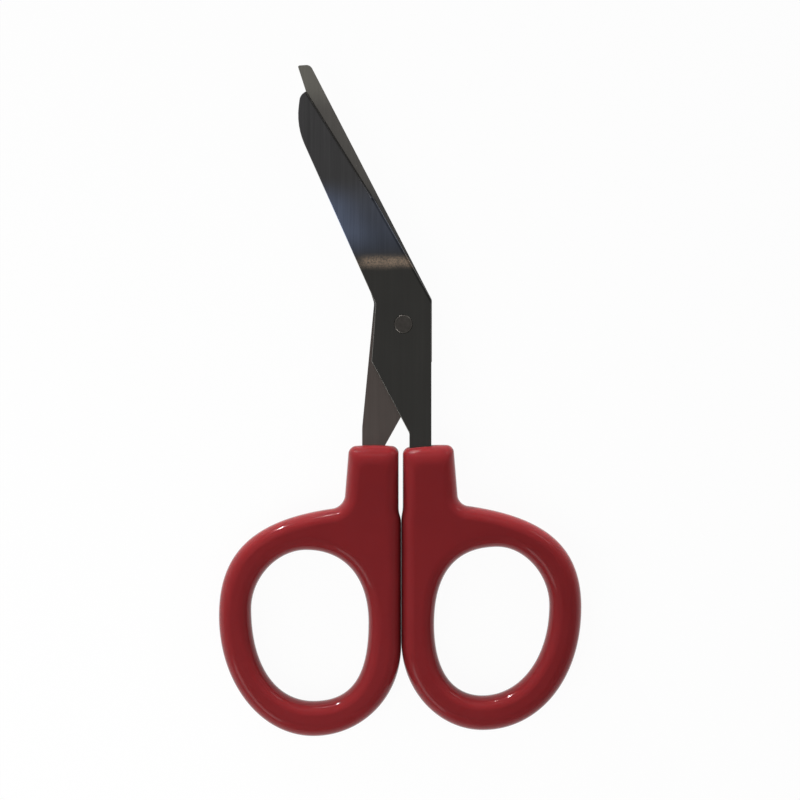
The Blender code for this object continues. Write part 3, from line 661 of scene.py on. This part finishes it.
def moulding(name, h):
    outline = side_outline(h)
    hole = hole_outline(h)
    bm = bmesh.new()
    contours = []
    for layer in range(-LAYERS, LAYERS + 1):
        angle = pi / 2 * layer / LAYERS
        fall = 1 - cos(angle)
        outside = outer_contour(h, outline, EDGE_ROUND * fall, NECK_END_ROUND * fall)
        inside = moved_in(hole, -EDGE_ROUND * fall, closed=True)
        height = PIVOT.z + THICKNESS / 2 * sin(angle)
        contours.append([closed_loop(bm, h, points, height) for points in (outside, inside)])
    for below, above in zip(contours, contours[1:]):
        for low, high in zip(below, above):
            bmesh.ops.bridge_loops(bm, edges=low + high)
    for outside, inside in (contours[0], contours[-1]):
        bmesh.ops.triangle_fill(bm, use_beauty=True, edges=outside + inside)
    bmesh.ops.recalc_face_normals(bm, faces=bm.faces)
    return finished(name, bm, plastic)


for name, sizes, body in (("left", LEFT, "left_half"), ("right", RIGHT, "right_half")):
    piece = moulding(name + "_moulding", sizes)
    normals = piece.modifiers.new("flat top", 'WEIGHTED_NORMAL')
    normals.weight = 100
    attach(piece, body)
    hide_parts(name + "_handle")
    print(piece.name, len(piece.data.polygons), "faces")

# %% [markdown]
# ## Table
# The photograph is cut out on white. The table's own colour is white, and the camera and the
# reflections also see it as white, with only a trace of the shadow left.

# %% Table
TABLE_SIZE = 3.0
WHITE = (1.0, 1.0, 1.0, 1.0)
TABLE_WHITE = (0.92, 0.92, 0.92, 1.0)
SEEN_WHITE = 0.95


def table_white():
    finish = Finish("white_table")
    finish.set(Base_Color=TABLE_WHITE, Roughness=1.0, Specular_IOR_Level=0.0)
    paths = finish.node("ShaderNodeLightPath", output=None)
    seen = Value(finish, paths.outputs["Is Camera Ray"]).larger(Value(finish, paths.outputs["Is Glossy Ray"]))
    seen = seen.larger(Value(finish, paths.outputs["Is Transmission Ray"]))
    matt = Value(finish, finish.shader.outputs[0])
    shown = finish.node("ShaderNodeEmission", inputs={"Color": WHITE, "Strength": 1.0})
    both = finish.node("ShaderNodeMixShader", inputs={0: seen * SEEN_WHITE, 1: matt, 2: shown})
    output = finish.tree.nodes["Material Output"]
    finish.feed(output.inputs["Surface"], both)
    return finish.material


table_mesh = bmesh.new()
bmesh.ops.create_grid(table_mesh, x_segments=1, y_segments=1, size=TABLE_SIZE)
table = finished("table", table_mesh, table_white())
print("table", 2 * TABLE_SIZE, "m wide")

# %% [markdown]
# ## Light
# The room is bright low down, as a room with windows is, and dim straight above, which is what makes
# the flat steel dark. A gradient in the world gives that: smooth reflections, with no edges of lamps in
# them. Most of the light comes in low from beyond the blades, so the edges that face it glow and the
# bottoms of the rings lie in the shadow of their tops.

# %% Room
ROOM_TOP = 0.11
ROOM_HORIZON = 0.42
ROOM_FALL = 1.6

world = bpy.data.worlds.new("room")
world.use_nodes = True
room = Nodes(world.node_tree, "Generated")
low_down = (1.0 - room.z.larger(0.0)) ** ROOM_FALL
background = world.node_tree.nodes["Background"]
background.inputs["Color"].default_value = WHITE
room.feed(background.inputs["Strength"], low_down * (ROOM_HORIZON - ROOM_TOP) + ROOM_TOP)
bpy.context.scene.world = world
bpy.context.scene.view_settings.view_transform = 'Standard'
print("room", ROOM_TOP, "above and", ROOM_HORIZON, "at the horizon")

# %% [markdown]
# The broad lamps only light the surfaces and don't show in them. Five small ones do show. The two
# glints give the few white marks on the rings, and the others give the soft streaks along their sides.

# %% Lamps
AIM = Vector((0.0, -0.02, 0.004))


def lamp(name, azimuth, elevation, distance, width, height, radiance, shows):
    """A soft lamp that faces the scissors. Azimuth is measured from +Y towards -X."""
    data = bpy.data.lights.new(name, 'AREA')
    data.shape = 'RECTANGLE'
    data.size = width
    data.size_y = height
    data.energy = radiance * pi * width * height
    light = bpy.data.objects.new(name, data)
    way = Vector((-sin(azimuth) * cos(elevation), cos(azimuth) * cos(elevation), sin(elevation)))
    light.location = AIM + way * distance
    light.rotation_euler = way.to_track_quat('Z', 'Y').to_euler()
    light.visible_camera = False
    light.visible_glossy = shows
    bpy.context.scene.collection.objects.link(light)


# Name, azimuth and elevation in degrees, distance, width and height in metres, radiance, shows
for name, azimuth, elevation, distance, width, height, radiance, shows in (
    ("low window", 0, 1.7, 0.8, 1.3, 0.044, 58.0, False),
    ("glint", 27, 7, 0.9, 0.03, 0.03, 1200.0, True),
    ("glint strip", 10, 7, 0.9, 0.16, 0.01, 220.0, True),
    ("far right window", -40, 16, 0.8, 0.2, 0.12, 4.0, True),
    ("high strip", 0, 32, 0.8, 0.6, 0.05, 2.4, True),
    ("left box", 90, 25, 0.3, 0.3, 0.2, 1.4, False),
    ("right box", -95, 25, 0.8, 0.7, 0.4, 1.5, False),
    ("near left glow", 135, 30, 0.5, 0.3, 0.2, 2.6, True),
    ("near box", 155, 55, 0.16, 0.15, 0.1, 2.2, False),
):
    lamp(name, radians(azimuth), radians(elevation), distance, width, height, radiance, shows)
print(len(bpy.data.lights), "lamps")

# %% [markdown]
# ## Camera
# The camera looks straight down from 60 cm. At that distance the rings' far sides hardly show, as in
# the photograph. Its lens follows from how much of the table the photograph takes in.

# %% Camera
PHOTO_PIXELS = 800
MM_PER_PIXEL = 0.20867
CAMERA_DISTANCE = 0.6
SENSOR_WIDTH = 36.0
CENTRE_PIXEL = Vector((400.25, 400.4))

camera_data = bpy.data.cameras.new("camera")
camera = bpy.data.objects.new("camera", camera_data)
bpy.context.scene.collection.objects.link(camera)
bpy.context.scene.camera = camera
shown_width = PHOTO_PIXELS * MM_PER_PIXEL * MM
camera_data.sensor_width = SENSOR_WIDTH
camera_data.lens = SENSOR_WIDTH * CAMERA_DISTANCE / shown_width
off_centre = (Vector((PHOTO_PIXELS / 2, PHOTO_PIXELS / 2)) - CENTRE_PIXEL) * MM_PER_PIXEL * MM
camera.location = (off_centre.x, -off_centre.y, PIVOT.z + CAMERA_DISTANCE)
print("lens", round(camera_data.lens, 1), "mm")
